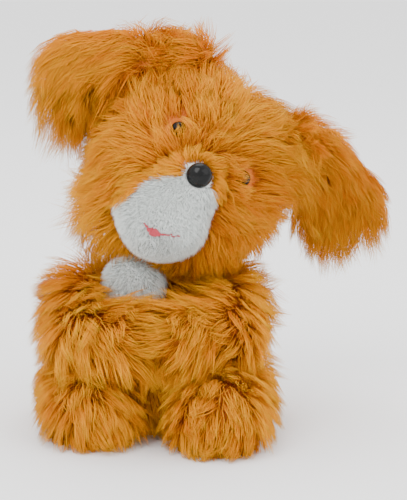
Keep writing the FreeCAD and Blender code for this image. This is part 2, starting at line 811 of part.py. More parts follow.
def drive_train():
    """Neck shaft and gear, reduction gear, and motor pinion, in mesh at rest."""
    neck, reduction, motor = drive_centres()
    first, second = size("reduction_bearing"), size("motor_bearing")
    pinion_turn = first + 180 + 180 / size("reduction_pinion_teeth")
    motor_turn = second + 180 + 180 / size("motor_pinion_teeth")
    neck_wheel = gear("neck_wheel", "neck_gear_teeth", neck, "high_gear_z", "high_gear_thick", first)
    upper_thick = "high_gear_z + high_gear_thick - low_gear_z"
    upper = gear("upper", "reduction_pinion_teeth", reduction, "low_gear_z", upper_thick, pinion_turn)
    lower = gear("lower", "reduction_wheel_teeth", reduction, "low_gear_z", "low_gear_thick", second)
    pinion = gear("pinion", "motor_pinion_teeth", motor, "low_gear_z", "low_gear_thick", motor_turn)
    shaft_at = (0, "head_turn_y", "gear_plate_z")
    shaft = cylinder("shaft_round", shaft_at, "neck_radius", "neck_top_z - gear_plate_z")
    tongue = block(
        "tongue",
        ("-neck_radius", "head_turn_y - tongue_half_thick", "neck_top_z - tongue_foot"),
        ("neck_radius", "head_turn_y + tongue_half_thick", "tilt_pivot_z"),
    )
    boss_at = (0, "head_turn_y - tongue_half_thick", "tilt_pivot_z")
    boss = cylinder("tongue_boss", boss_at, "tongue_boss_radius", "2 * tongue_half_thick", "+Y")
    bore_radius = "tilt_pin_radius + running_gap"
    tilt_bore = cylinder("tongue_bore", boss_at, bore_radius, "2 * tongue_half_thick", "+Y")
    neck_blank = join("neck_blank", shaft, tongue, boss)
    neck_shaft = node("neck_shaft", cut("neck_shaft_body", neck_blank, tilt_bore))
    node("neck_gear", cut("neck_gear_body", neck_wheel, neck_shaft))
    ring_at = (0, "head_turn_y", "neck_bush_top_z + joint_gap / 2")
    ring = cylinder("ring_disc", ring_at, "neck_ring_radius", "neck_ring_thick")
    node("neck_ring", cut("neck_ring_body", ring, neck_shaft))
    axle_at = (reduction.x, reduction.y, "gear_plate_z")
    axle_length = "housing_top_z - housing_wall - gear_plate_z"
    axle = node("gear_axle", cylinder("axle", axle_at, "gear_axle_radius", axle_length))
    bore = cylinder("axle_bore", axle_at, "gear_axle_radius + running_gap", axle_length)
    node("reduction_gear", cut("reduction_gear_body", join("reduction_blank", lower, upper), bore))
    spindle_at = (motor.x, motor.y, "gear_plate_z - running_gap * 4")
    spindle_length = "low_gear_z - gear_plate_z + running_gap * 4"
    spindle = cylinder("spindle", spindle_at, "motor_shaft_radius", spindle_length)
    node("motor_pinion", join("motor_pinion_body", pinion, spindle))
    can_at = (motor.x, motor.y, "motor_low_z")
    can_length = "gear_plate_z - motor_low_z - running_gap * 4"
    node("motor_can", cylinder("can", can_at, "motor_radius", can_length))
    return axle, motor


def gear_plate(axle, motor):
    """A flat plate that carries the neck's foot, the gear axle and the motor's spindle."""
    body = document.addObject("PartDesign::Body", "gear_plate_body")
    outline = new_sketch(body, "plate_outline", "XY_Plane", "gear_plate_z")
    inner_x, inner_y = "housing_x - housing_wall", "housing_y - housing_wall"
    add_rectangle(outline, (f"-({inner_x})", f"-({inner_y})"), (inner_x, inner_y))
    pad(body, outline, "housing_wall")
    holes = new_sketch(body, "plate_holes", "XY_Plane", "gear_plate_z")
    add_circle(holes, (0, "head_turn_y"), "neck_radius + running_gap")
    add_circle(holes, (motor.x, motor.y), "motor_shaft_radius + running_gap")
    pocket(body, holes, "housing_wall", towards_normal=True)
    node("gear_plate", cut("gear_plate_cut", body, axle))


# ---------------------------------------------------------------- housing and electrics

def housing(door_opening, knob_opening, screws, screw_bosses):
    """The mechanism's box in two halves, screwed together front to back."""
    outer_low = ("-housing_x", "-housing_y", "housing_low_z")
    outer_high = ("housing_x", "housing_y", "housing_top_z")
    inner_low = ("-housing_x + housing_wall", "-housing_y + housing_wall", "housing_low_z + housing_wall")
    inner_high = ("housing_x - housing_wall", "housing_y - housing_wall", "housing_top_z - housing_wall")
    outside = block("housing_out", outer_low, outer_high)
    inside = block("housing_in", inner_low, inner_high)
    shell = cut("housing_shell", outside, inside)
    shell = join("housing_bossed", shell, *screw_bosses)
    neck_at = (0, "head_turn_y", "housing_top_z - 2 * housing_wall")
    neck_hole = cylinder("housing_neck_hole", neck_at, "neck_bush_radius", "3 * housing_wall")
    grille = []
    for row in range(-1, 2):
        for column in range(-1, 2):
            at = (f"{column} * speaker_radius / 2", "-housing_y", f"speaker_z + {row} * speaker_radius / 2")
            grille.append(cylinder(f"grille_{row + 1}{column + 1}", at, "plate", "housing_wall", "+Y"))
    shell = cut("housing_open", shell, neck_hole, door_opening, knob_opening, *grille, *screws)
    front = block(
        "front_half",
        ("-2 * housing_x", "-2 * housing_y", 0),
        ("2 * housing_x", "housing_split_y", "2 * housing_top_z"),
    )
    node("housing_front", overlap("housing_front_body", shell, front))
    node("housing_rear", cut("housing_rear_body", shell, front))
    return block("housing_hull", outer_low, outer_high)


def housing_screws():
    """Four screws along Y near the housing's corners, and the bosses they run in."""
    screws, bosses = [], []
    low = "housing_low_z + housing_wall + 2 * screw_head_radius + cell_z"
    high = "housing_top_z - 2 * housing_wall - screw_head_radius"
    stem_length = "housing_y + housing_split_y + 4 * housing_wall"
    for number, (side, height) in enumerate((side, height) for side in (-1, 1) for height in (low, high)):
        at = (f"{side} * screw_x", "-housing_y", height)
        stem = cylinder(f"screw_stem_{number}", at, "screw_radius", stem_length, "+Y")
        head_disc = cylinder(f"screw_head_{number}", at, "screw_head_radius", "housing_wall / 2", "+Y")
        screws.append(join(f"screw_{number}", stem, head_disc))
        across = [f"{side} * screw_x {sign} screw_head_radius" for sign in "-+"]
        along = ["-housing_y + housing_wall / 2", "housing_y - housing_wall / 2"]
        upright = [f"{height} {sign} screw_head_radius" for sign in "-+"]
        bosses.append(block(f"boss_{number}", *zip(across, along, upright)))
    node("housing_screws", group("screw_set", *screws))
    return screws, bosses


def neck_bush():
    """The sleeve that the neck turns in, from the housing's top to the torso's top."""
    at = (0, "head_turn_y", "housing_top_z - housing_wall")
    length = "neck_bush_top_z - housing_top_z + housing_wall"
    sleeve = cylinder("bush_outer", at, "neck_bush_radius", length)
    bore = cylinder("bush_bore", at, "neck_radius + running_gap", length)
    node("neck_bush", cut("bush", sleeve, bore))
    return sleeve


def batteries():
    """Two cells along Y with a contact at each end."""
    cells, contacts = [], []
    for number in range(2):
        x = f"cell_first_x + {number} * cell_pitch"
        at = (x, "-cell_length / 2", "cell_z")
        cells.append(cylinder(f"cell_{number}", at, "cell_radius", "cell_length", "+Y"))
        for end, (y, along) in enumerate((("-cell_length / 2", "-Y"), ("cell_length / 2", "+Y"))):
            name = f"contact_{number}{end}"
            length = "housing_y - housing_wall - cell_length / 2"
            contacts.append(cylinder(name, (x, y, "cell_z"), "cell_radius / 2", length, along))
    node("battery_cells", group("cell_set", *cells))
    node("battery_contacts", group("contact_set", *contacts))


def battery_door():
    """A flat door flush with the seat, its lip inside the housing's opening, and its screw."""
    body = document.addObject("PartDesign::Body", "door_body")
    plate = new_sketch(body, "door_outline", "XY_Plane", 0)
    add_rectangle(plate, ("door_left_x", "-door_half_y"), ("door_right_x", "door_half_y"))
    pad(body, plate, "housing_low_z + housing_wall")
    hole = new_sketch(body, "door_screw_hole", "XY_Plane", 0)
    add_circle(hole, ("door_screw_x", "door_screw_y"), "screw_radius + running_gap")
    pocket(body, hole, "housing_low_z + housing_wall", towards_normal=True)
    sink = new_sketch(body, "door_screw_sink", "XY_Plane", 0)
    add_circle(sink, ("door_screw_x", "door_screw_y"), "screw_head_radius + running_gap")
    pocket(body, sink, "housing_wall", towards_normal=True)
    node("battery_door", body)
    head_at = ("door_screw_x", "door_screw_y", "plate / 4")
    head_disc = cylinder("door_screw_head", head_at, "screw_head_radius", "housing_wall - plate / 4")
    stem = cylinder("door_screw_stem", head_at, "screw_radius", "housing_low_z + 2 * housing_wall")
    node("door_screw", join("door_screw_body", head_disc, stem))
    opening = block(
        "door_opening",
        ("door_left_x - door_gap", "-door_half_y - door_gap", "-housing_wall"),
        ("door_right_x + door_gap", "door_half_y + door_gap", "housing_low_z + housing_wall"),
    )
    return opening


def power_switch():
    """A slide switch beside the battery door: the knob travels along X in a slot."""
    knob_z = "2 * running_gap + housing_wall / 4"
    first_x = "switch_x - switch_travel / 2 - switch_knob_half_x"
    last_x = "switch_x + switch_travel / 2 + switch_knob_half_x"
    knob_top = "housing_low_z + housing_wall - 2 * running_gap"
    knob = block(
        "knob_form",
        (first_x, "-switch_half_y", knob_z),
        (f"{first_x} + 2 * switch_knob_half_x", "switch_half_y", knob_top),
    )
    node("power_switch_knob", knob)
    opening = block(
        "knob_opening",
        (f"{first_x} - door_gap", "-switch_half_y - door_gap", "-housing_wall"),
        (f"{last_x} + door_gap", "switch_half_y + door_gap", "housing_low_z + housing_wall"),
    )
    case = block(
        "switch_case_form",
        ("switch_x - switch_travel", "-2 * switch_half_y", "housing_low_z + housing_wall"),
        ("switch_x + switch_travel", "2 * switch_half_y", "housing_low_z + 3 * housing_wall"),
    )
    node("switch_case", case)
    return opening


def speaker():
    """A small round speaker that faces the belly: a flanged basket with a dished cone."""
    body = document.addObject("PartDesign::Body", "speaker_body")
    disc = new_sketch(body, "speaker_flange", "XZ_Plane", "housing_y - housing_wall - speaker_depth / 3")
    add_circle(disc, (0, "speaker_z"), "speaker_radius")
    pad(body, disc, "speaker_depth / 3")
    magnet = new_sketch(body, "speaker_magnet", "XZ_Plane", "housing_y - housing_wall - speaker_depth")
    add_circle(magnet, (0, "speaker_z"), "speaker_magnet_radius")
    pad(body, magnet, "speaker_depth * 2 / 3")
    dish = new_sketch(body, "speaker_dish", "XZ_Plane", "housing_y - housing_wall")
    add_circle(dish, (0, "speaker_z"), "speaker_cone_radius")
    pocket(body, dish, "speaker_depth / 6")
    node("speaker", body)


def circuit_board():
    """An upright board with its chips."""
    body = document.addObject("PartDesign::Body", "board_body")
    outline = new_sketch(body, "board_outline", "XZ_Plane", "-board_y - plate")
    add_rectangle(outline, ("board_left_x", "board_low_z"), ("board_right_x", "board_top_z"))
    pad(body, outline, "plate")
    node("circuit_board", body)
    chips = []
    for number, (across, up, width) in enumerate(CHIPS):
        low = (f"board_left_x + {across}", "board_y - plate", f"board_low_z + {up}")
        high = (f"{low[0]} + {width}", "board_y", f"{low[2]} + {width}")
        chips.append(block(f"chip_{number}", low, high))
    node("board_parts", group("chip_set", *chips))


def motor_wires(motor):
    """Two straight leads from the board's edge to the motor's can."""
    can_length = "gear_plate_z - motor_low_z"
    can = cylinder("wire_stop", (motor.x, motor.y, "motor_low_z"), "motor_radius", can_length)
    leads = []
    for number in range(2):
        height = f"motor_low_z + {number + 1} * wire_pitch"
        start = ("board_right_x - wire_overlap", "board_y - wire_radius", height)
        lead = cylinder(f"wire_{number}", start, "wire_radius", f"{motor.x} - ({start[0]})", "+X")
        leads.append(cut(f"wire_end_{number}", lead, can))
    node("wire_loom", group("wire_set", *leads))


def paw_switch():
    """The squeeze switch in the left paw: a cup with a button that travels along Y."""
    centre = ("-paw_x", "paw_y - button_forward", "paw_z")
    cup_out = cylinder("cup_out", centre, "button_case_radius", "paw_radius / 2", "+Y")
    cup_in = cylinder("cup_in", centre, "button_radius + 3 * running_gap", "paw_radius / 4", "+Y")
    case = node("paw_switch_case", cut("paw_case", cup_out, cup_in))
    button_at = (centre[0], f"{centre[1]} - button_stand", centre[2])
    button = cylinder("button_form", button_at, "button_radius", "button_stand + button_travel / 2", "+Y")
    node("paw_button", button)
    well_at = (centre[0], f"{button_at[1]} - 2 * running_gap", centre[2])
    well_depth = "button_stand + 2 * running_gap + paw_radius / 2"
    well = cylinder("button_well", well_at, "button_case_radius", well_depth, "+Y")
    return (well,)


# ---------------------------------------------------------------- assembly

def build():
    axle, motor = drive_train()
    gear_plate(axle, motor)
    door_opening = battery_door()
    knob_opening = power_switch()
    screws, bosses = housing_screws()
    hull = housing(door_opening, knob_opening, screws, bosses)
    bush = neck_bush()
    batteries()
    speaker()
    circuit_board()
    motor_wires(motor)
    limb_washers()
    torso_skin(hull, bush, door_opening, knob_opening)
    arms(paw_switch())
    legs()
    head()
    ear("left", -1)
    ear("right", 1)


def check_and_write():
    """Stop at any failed object or bad shape, then write each sub-part's file."""
    document.recompute()
    for made in document.Objects:
        if any(word in made.State for word in ("Invalid", "Error")):
            raise ValueError(f"{made.Name} failed: {made.State}")
    for solid in NODES:
        if solid.Shape.isNull() or not solid.Shape.isValid() or not solid.Shape.Solids:
            raise ValueError(f"{solid.Label} has no valid shape")
    os.makedirs("parts", exist_ok=True)
    for solid in NODES:
        solid.Shape.exportStep(f"parts/{solid.Label}.step")
        box = solid.Shape.BoundBox
        spans = ((box.XMin, box.XMax), (box.YMin, box.YMax), (box.ZMin, box.ZMax))
        reach = "  ".join(f"{low:7.1f} {high:7.1f}" for low, high in spans)
        amount = f"solids {len(solid.Shape.Solids)} volume {solid.Shape.Volume:10.1f}"
        print(f"{solid.Label:22s} {amount}  {reach}")


build()
check_and_write()
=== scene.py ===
import json
import math
from dataclasses import dataclass

import bmesh
import bpy
import numpy as np
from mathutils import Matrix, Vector, kdtree, noise
from mathutils.bvhtree import BVHTree


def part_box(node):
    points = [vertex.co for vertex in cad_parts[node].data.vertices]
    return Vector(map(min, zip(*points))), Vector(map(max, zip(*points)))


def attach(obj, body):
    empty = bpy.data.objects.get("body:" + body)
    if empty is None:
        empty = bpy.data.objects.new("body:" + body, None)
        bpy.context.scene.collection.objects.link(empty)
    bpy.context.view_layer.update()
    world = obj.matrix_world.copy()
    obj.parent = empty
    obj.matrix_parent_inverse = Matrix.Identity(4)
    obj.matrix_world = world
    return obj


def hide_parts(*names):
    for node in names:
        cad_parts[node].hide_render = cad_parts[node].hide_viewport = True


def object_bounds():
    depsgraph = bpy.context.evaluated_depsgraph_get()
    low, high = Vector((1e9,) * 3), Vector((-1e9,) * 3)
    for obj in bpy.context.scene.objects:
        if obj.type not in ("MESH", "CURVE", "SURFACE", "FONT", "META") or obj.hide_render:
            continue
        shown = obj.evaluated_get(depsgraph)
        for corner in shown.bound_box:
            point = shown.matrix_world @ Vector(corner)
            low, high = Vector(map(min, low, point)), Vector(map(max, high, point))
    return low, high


# The looks of the plush puppy: long clumped fur, short pile, glossy nose and eyes. Metres.

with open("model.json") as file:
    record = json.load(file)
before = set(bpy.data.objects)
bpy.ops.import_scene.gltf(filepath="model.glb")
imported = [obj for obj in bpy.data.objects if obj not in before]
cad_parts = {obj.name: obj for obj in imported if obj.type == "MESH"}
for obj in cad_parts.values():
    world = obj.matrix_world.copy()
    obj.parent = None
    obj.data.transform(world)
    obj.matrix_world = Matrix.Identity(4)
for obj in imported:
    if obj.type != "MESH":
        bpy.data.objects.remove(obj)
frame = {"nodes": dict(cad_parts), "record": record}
CAD_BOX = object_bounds()

MM = 0.001
UP = np.array([0.0, 0.0, 1.0])
VOXEL = 2.2 * MM

# Fur stays inside this room round the CAD model, and lies on the floor where it reaches it.
FUR_MARGIN = np.array([14.5, 13.5, 15.5]) * MM
ROOM_LOW = np.array(CAD_BOX[0]) - FUR_MARGIN
ROOM_HIGH = np.array(CAD_BOX[1]) + FUR_MARGIN
FLOOR_GAP = 0.5 * MM


# ---------------------------------------------------------------- places from the frame

def centre(node):
    low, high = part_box(node)
    return np.array((low + high) / 2)


def unit(vectors):
    """Each vector, or the one vector, at length 1."""
    length = np.linalg.norm(vectors, axis=-1, keepdims=True)
    return vectors / np.maximum(length, 1e-9)


HEAD_CENTRE = centre("head_cover")
HEAD_RADIUS = float((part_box("head_cover")[1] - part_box("head_cover")[0]).x) / 2
HEAD_SIDE = unit(centre("eye_right") - centre("eye_left"))
HEAD_BACK = np.array([0.0, 1.0, 0.0])
HEAD_UP = np.cross(HEAD_SIDE, HEAD_BACK)
NOSE = centre("nose")


def head_point(side, back, up):
    """A point given in the head's own tilted axes, in millimetres from the head's centre."""
    return HEAD_CENTRE + MM * (side * HEAD_SIDE + back * HEAD_BACK + up * HEAD_UP)


# ---------------------------------------------------------------- meshes

def link(obj):
    bpy.context.scene.collection.objects.link(obj)
    return obj


def mesh_object(name, vertices, faces, material):
    mesh = bpy.data.meshes.new(name)
    mesh.from_pydata([tuple(v) for v in vertices], [], [tuple(f) for f in faces])
    mesh.polygons.foreach_set("use_smooth", [True] * len(mesh.polygons))
    mesh.materials.append(material)
    mesh.update()
    return link(bpy.data.objects.new(name, mesh))


def get_points(mesh):
    points = np.empty(len(mesh.vertices) * 3)
    mesh.vertices.foreach_get("co", points)
    return points.reshape(-1, 3)


def get_normals(mesh):
    normals = np.empty(len(mesh.vertices) * 3)
    mesh.vertices.foreach_get("normal", normals)
    return normals.reshape(-1, 3)


def set_points(mesh, points):
    mesh.vertices.foreach_set("co", np.asarray(points, float).ravel())
    mesh.update()


def surface_tree(obj):
    """An object's surface, ready for rays and nearest points."""
    mesh = obj.data
    return BVHTree.FromPolygons([v.co for v in mesh.vertices], [p.vertices for p in mesh.polygons])


def evaluated(obj):
    """The mesh that an object has after its modifiers, as a new mesh."""
    graph = bpy.context.evaluated_depsgraph_get()
    return bpy.data.meshes.new_from_object(obj.evaluated_get(graph))


def sewn_form(name, nodes, material, smoothing, voxel=VOXEL):
    """One closed smooth skin round some CAD nodes, at the place where they are."""
    parts = [frame["nodes"][node].data for node in nodes]
    vertices, faces = [], []
    for mesh in parts:
        offset = len(vertices)
        vertices.extend(v.co.copy() for v in mesh.vertices)
        faces.extend([index + offset for index in polygon.vertices] for polygon in mesh.polygons)
    obj = mesh_object(name, vertices, faces, material)
    remesh = obj.modifiers.new("remesh", "REMESH")
    remesh.mode = "VOXEL"
    remesh.voxel_size = voxel
    relax = obj.modifiers.new("relax", "SMOOTH")
    relax.factor = 0.5
    relax.iterations = smoothing
    mesh = evaluated(obj)
    obj.modifiers.clear()
    obj.data = mesh
    mesh.materials.clear()
    mesh.materials.append(material)
    mesh.polygons.foreach_set("use_smooth", [True] * len(mesh.polygons))
    return obj


def lumps(points, scale, seed):
    """Smooth noise from -1 to 1 at each point; scale is the size of a lump in metres."""
    shift = Vector((seed * 7.3, seed * 3.1, seed * 5.7))
    return np.array([noise.noise(Vector(p) / scale + shift) for p in points])


def puff(obj, height, scale, seed):
    """Uneven stuffing: push the skin in and out along its normals."""
    points, normals = get_points(obj.data), get_normals(obj.data)
    set_points(obj.data, points + normals * (height * lumps(points, scale, seed))[:, None])


# ---------------------------------------------------------------- materials

class Nodes:
    """A material's node tree with short calls to add nodes and links."""

    def __init__(self, name):
        self.material = bpy.data.materials.new(name)
        self.material.use_nodes = True
        self.tree = self.material.node_tree
        self.shader = self.tree.nodes["Principled BSDF"]

    def add(self, kind, **inputs):
        added = self.tree.nodes.new("ShaderNode" + kind)
        for name, value in inputs.items():
            self.plug(added, name.replace("_", " "), value)
        return added

    def plug(self, added, name, value):
        if isinstance(value, bpy.types.NodeSocket):
            self.tree.links.new(value, added.inputs[name])
        else:
            added.inputs[name].default_value = value

    def set(self, **inputs):
        for name, value in inputs.items():
            self.plug(self.shader, name.replace("_", " "), value)
        return self.material

    def ramp(self, factor, *stops):
        """Colours along a 0 to 1 value: each stop is (position, (r, g, b))."""
        added = self.tree.nodes.new("ShaderNodeValToRGB")
        self.tree.links.new(factor, added.inputs["Fac"])
        elements = added.color_ramp.elements
        while len(elements) < len(stops):
            elements.new(0.5)
        for element, (position, colour) in zip(elements, stops):
            element.position = position
            element.color = (*colour, 1)
        return added.outputs["Color"]

    def mix(self, factor, first, second):
        """A blend of two colours; the RGBA form of the node has them at inputs 6 and 7."""
        added = self.tree.nodes.new("ShaderNodeMix")
        added.data_type = "RGBA"
        sockets = (added.inputs[0], added.inputs[6], added.inputs[7])
        for socket, value in zip(sockets, (factor, first, second)):
            if isinstance(value, bpy.types.NodeSocket):
                self.tree.links.new(value, socket)
            else:
                socket.default_value = value if socket.name == "Factor" else (*value, 1)
        return added.outputs[2]

    def scaled(self, value, span, base):
        """A 0 to 1 value spread over base to base + span."""
        added = self.tree.nodes.new("ShaderNodeMath")
        added.operation = "MULTIPLY_ADD"
        self.tree.links.new(value, added.inputs[0])
        added.inputs[1].default_value = span
        added.inputs[2].default_value = base
        return added.outputs[0]

    def place(self):
        return self.add("TexCoord").outputs["Object"]

    def noise(self, scale, detail=4.0):
        added = self.add("TexNoise", Vector=self.place(), Scale=scale, Detail=detail, Roughness=0.5)
        return added.outputs["Fac"]

    def bump(self, height, strength, distance):
        return self.add("Bump", Height=height, Strength=strength, Distance=distance).outputs["Normal"]


def fur_material(name, pale_stops, deep_stops, roughness, sheen):
    """Fur coloured from its UV map: U runs from pale to deep strands and V from root to tip."""
    make = Nodes(name)
    along = make.add("UVMap")
    along.uv_map = "OFBake"
    split = make.add("SeparateXYZ", Vector=along.outputs["UV"])
    pale = make.ramp(split.outputs["Y"], *pale_stops)
    deep = make.ramp(split.outputs["Y"], *deep_stops)
    colour = make.mix(split.outputs["X"], pale, deep)
    tip_colour = pale_stops[-1][1]
    make.shader.inputs["Sheen Weight"].default_value = sheen
    make.shader.inputs["Sheen Roughness"].default_value = 0.5
    make.shader.inputs["Sheen Tint"].default_value = (*tip_colour, 1)
    make.shader.inputs["Specular IOR Level"].default_value = 0.12
    return make.set(Base_Color=colour, Roughness=roughness)


def backing_material(name, dark, light):
    """Backing cloth under the pile: fine fibres, uneven in colour."""
    make = Nodes(name)
    fibre = make.noise(900.0, 3.0)
    patch = make.noise(60.0)
    colour = make.mix(patch, make.ramp(fibre, (0.3, dark), (0.75, light)), dark)
    return make.set(Base_Color=colour, Roughness=0.95, Normal=make.bump(fibre, 0.8, 0.0006))


def plastic_material(name, colour, roughness, gloss=0.0):
    """Moulded plastic with a fine texture and slightly uneven colour."""
    make = Nodes(name)
    grain = make.noise(1400.0, 2.0)
    patch = make.noise(40.0)
    darker = tuple(0.82 * c for c in colour)
    tint = make.ramp(patch, (0.35, darker), (0.65, colour))
    rough = make.scaled(grain, span=0.12, base=roughness)
    make.shader.inputs["Coat Weight"].default_value = gloss
    return make.set(Base_Color=tint, Roughness=rough, Normal=make.bump(grain, 0.15, 0.0002))


def metal_material(name, colour, roughness):
    """Plain steel with a fine grain and small dull spots."""
    make = Nodes(name)
    grain = make.noise(600.0, 2.0)
    spots = make.noise(90.0)
    darker = tuple(0.7 * c for c in colour)
    tint = make.ramp(spots, (0.3, darker), (0.6, colour))
    rough = make.scaled(grain, span=0.2, base=roughness)
    make.shader.inputs["Metallic"].default_value = 1.0
    return make.set(Base_Color=tint, Roughness=rough, Normal=make.bump(grain, 0.1, 0.0002))


def gloss_material(name, colour):
    """Black plastic with an uneven, softly pebbled gloss."""
    make = Nodes(name)
    smear = make.noise(120.0, 5.0)
    pebbles = make.noise(420.0, 1.5)
    rough = make.scaled(smear, span=0.12, base=0.12)
    lighter = tuple(min(1.0, c * 2.2 + 0.002) for c in colour)
    make.shader.inputs["Specular IOR Level"].default_value = 0.16
    tint = make.ramp(smear, (0.35, colour), (0.8, lighter))
    return make.set(Base_Color=tint, Roughness=rough, Normal=make.bump(pebbles, 0.55, 0.0006))


def satin_material(name, colour):
    """Pink satin stitches: close threads across the line, with painted shade between them so that their
    crowns look brighter.
    """
    make = Nodes(name)
    wave = make.add("TexWave", Vector=make.place(), Scale=420.0, Distortion=1.5, Detail=2.0)
    threads = wave.outputs["Fac"]
    # Painted shade: the grooves between the threads are coloured darker than their crowns.
    darker = tuple(0.55 * c for c in colour)
    tint = make.ramp(threads, (0.2, darker), (0.7, colour))
    make.shader.inputs["Sheen Weight"].default_value = 0.3
    return make.set(Base_Color=tint, Roughness=0.5, Normal=make.bump(threads, 0.6, 0.0004))


def board_material(name):
    """Green solder mask with a grid of tracks showing through."""
    make = Nodes(name)
    cells = make.add("TexBrick", Vector=make.place(), Scale=160.0)
    colour = make.mix(cells.outputs["Fac"], (0.02, 0.16, 0.05), (0.05, 0.30, 0.10))
    return make.set(Base_Color=colour, Roughness=0.35, Normal=make.bump(cells.outputs["Fac"], 0.2, 0.0003))


# Colours from the root, 0, to the tip, 1.
PALE_ORANGE = (
    (0.0, (0.72, 0.26, 0.002)),
    (0.4, (0.76, 0.32, 0.002)),
    (0.8, (0.78, 0.37, 0.004)),
    (1.0, (0.84, 0.50, 0.020)),
)
DEEP_ORANGE = (
    (0.0, (0.60, 0.120, 0.001)),
    (0.4, (0.68, 0.165, 0.001)),
    (0.8, (0.70, 0.200, 0.001)),
    (1.0, (0.74, 0.280, 0.005)),
)
PALE_WHITE = (
    (0.0, (0.70, 0.74, 0.71)),
    (0.5, (0.84, 0.88, 0.85)),
    (1.0, (0.92, 0.96, 0.93)),
)
DEEP_WHITE = (
    (0.0, (0.54, 0.58, 0.55)),
    (0.5, (0.70, 0.74, 0.71)),
    (1.0, (0.82, 0.86, 0.83)),
)
ORANGE_FUR = fur_material("orange_fur", PALE_ORANGE, DEEP_ORANGE, roughness=0.75, sheen=0.04)
PALE_FUR = fur_material("pale_fur", PALE_WHITE, DEEP_WHITE, roughness=0.8, sheen=0.1)
ORANGE_BACKING = backing_material("orange_backing", (0.42, 0.085, 0.002), (0.60, 0.17, 0.004))
PALE_BACKING = backing_material("pale_backing", (0.62, 0.63, 0.61), (0.78, 0.79, 0.77))
BLACK_GLOSS = gloss_material("black_gloss", (0.003, 0.003, 0.003))
PINK_SATIN = satin_material("pink_satin", (0.46, 0.014, 0.036))


# ---------------------------------------------------------------- fur

RINGS = np.array([0.0, 0.36, 0.70, 1.0])
PILE_RINGS = np.array([0.0, 0.55, 1.0])


@dataclass
class Coat:
    """How a coat of fur grows: its lengths in metres, and how its locks gather and bend."""

    length: float
    width: float
    lift: float
    clump: float
    lock_size: int
    droop: float
    curl: float
    swirl: float
    spread: float
    rings: np.ndarray


LONG = Coat(
    length=25 * MM,
    width=0.52 * MM,
    lift=0.50,
    clump=0.80,
    lock_size=22,
    droop=0.36,
    curl=0.2,
    swirl=0.55,
    spread=0.10,
    rings=RINGS,
)
EAR = Coat(
    length=25 * MM,
    width=0.52 * MM,
    lift=0.38,
    clump=0.80,
    lock_size=22,
    droop=1.0,
    curl=0.2,
    swirl=0.35,
    spread=0.10,
    rings=RINGS,
)
SHORT = Coat(
    length=4.4 * MM,
    width=0.38 * MM,
    lift=0.60,
    clump=0.40,
    lock_size=6,
    droop=0.1,
    curl=0.2,
    swirl=0.35,
    spread=0.16,
    rings=PILE_RINGS,
)

# Some strands are loose: shorter, and pulled less to the middle of their lock.
LOOSE_SHARE = 0.3
LOOSE_PULL = 0.35
LOOSE_LENGTH = 0.78
FEWEST_LOCKS = 8

# How far strands differ from each other, as factors of what their coat says.
LENGTH_RANGE = (0.78, 1.10)
LOCK_LENGTH_RANGE = (0.82, 1.0)
EDGE_TRIM_RANGE = (0.75, 1.0)
WIDTH_RANGE = (0.7, 1.25)
BEND_RANGE = (0.2, 0.8)
SIDE_LEAN = 0.15
SWIRL_SIZE = 30 * MM

# The tone of a strand, from pale, 0, to deep, 1.
MIDDLE_TONE = 0.42
PATCH_TONE = 0.28
PATCH_SIZE = 34 * MM
LOCK_TONE = 0.13
STRAND_TONE = 0.12


def scatter(mesh, count, keep, rng):
    """Points spread over a mesh by area where keep says so, with their normals."""
    mesh.calc_loop_triangles()
    corners = np.empty(len(mesh.loop_triangles) * 3, int)
    mesh.loop_triangles.foreach_get("vertices", corners)
    corners = corners.reshape(-1, 3)
    points, normals = get_points(mesh), get_normals(mesh)
    a, b, c = points[corners[:, 0]], points[corners[:, 1]], points[corners[:, 2]]
    area = np.linalg.norm(np.cross(b - a, c - a), axis=1) / 2
    area = area * keep((a + b + c) / 3, unit(np.cross(b - a, c - a)))
    chosen = rng.choice(len(area), count, p=area / area.sum())
    first, second = np.sqrt(rng.random(count)), rng.random(count)
    weights = np.stack([1 - first, first * (1 - second), first * second], 1)
    picked = corners[chosen]
    roots = np.einsum("ij,ijk->ik", weights, points[picked])
    return roots, unit(np.einsum("ij,ijk->ik", weights, normals[picked]))


def grow(roots, normals, flow, coat, lengths, bend, side_curl):
    """The centre line of each strand: it leaves along the normal and leans into the flow."""
    flow = unit(flow - normals * np.sum(flow * normals, axis=1)[:, None])
    across = np.cross(normals, flow)
    heading = unit(normals * coat.lift + flow * (1 - coat.lift) + across * SIDE_LEAN * side_curl[:, None])
    line = [roots]
    for start, end in zip(coat.rings, coat.rings[1:]):
        step = lengths[:, None] * (end - start)
        line.append(line[-1] + unit(heading) * step)
        turn = flow * bend[:, None] + across * (coat.curl * side_curl)[:, None] - UP * coat.droop
        heading = unit(heading + turn * (end - start) * 2)
    return np.stack(line, 1)


def swirled(flow, normals, points, amount, scale, seed):
    """The flow turned about the normal by smooth noise, as brushed fur wanders."""
    angle = amount * lumps(points, scale, seed)
    across = np.cross(normals, flow)
    return flow * np.cos(angle)[:, None] + across * np.sin(angle)[:, None]


def nearest(points, guides):
    tree = kdtree.KDTree(len(guides))
    for index, guide in enumerate(guides):
        tree.insert(guide, index)
    tree.balance()
    return np.array([tree.find(p)[1] for p in points])


def even(points):
    return np.ones(len(points))


def kept_in_room(path, trim):
    """Strands shortened where they would leave the room round the toy, and laid on the floor."""
    roots = path[:, :1]
    away = path - roots
    room = np.where(away > 0, ROOM_HIGH - roots, roots - ROOM_LOW)
    share = (room / np.maximum(np.abs(away), 1e-9)).min(axis=(1, 2)) * trim
    path = roots + away * np.clip(share, 0.1, 1)[:, None, None]
    path[..., 2] = np.maximum(path[..., 2], FLOOR_GAP)
    return path


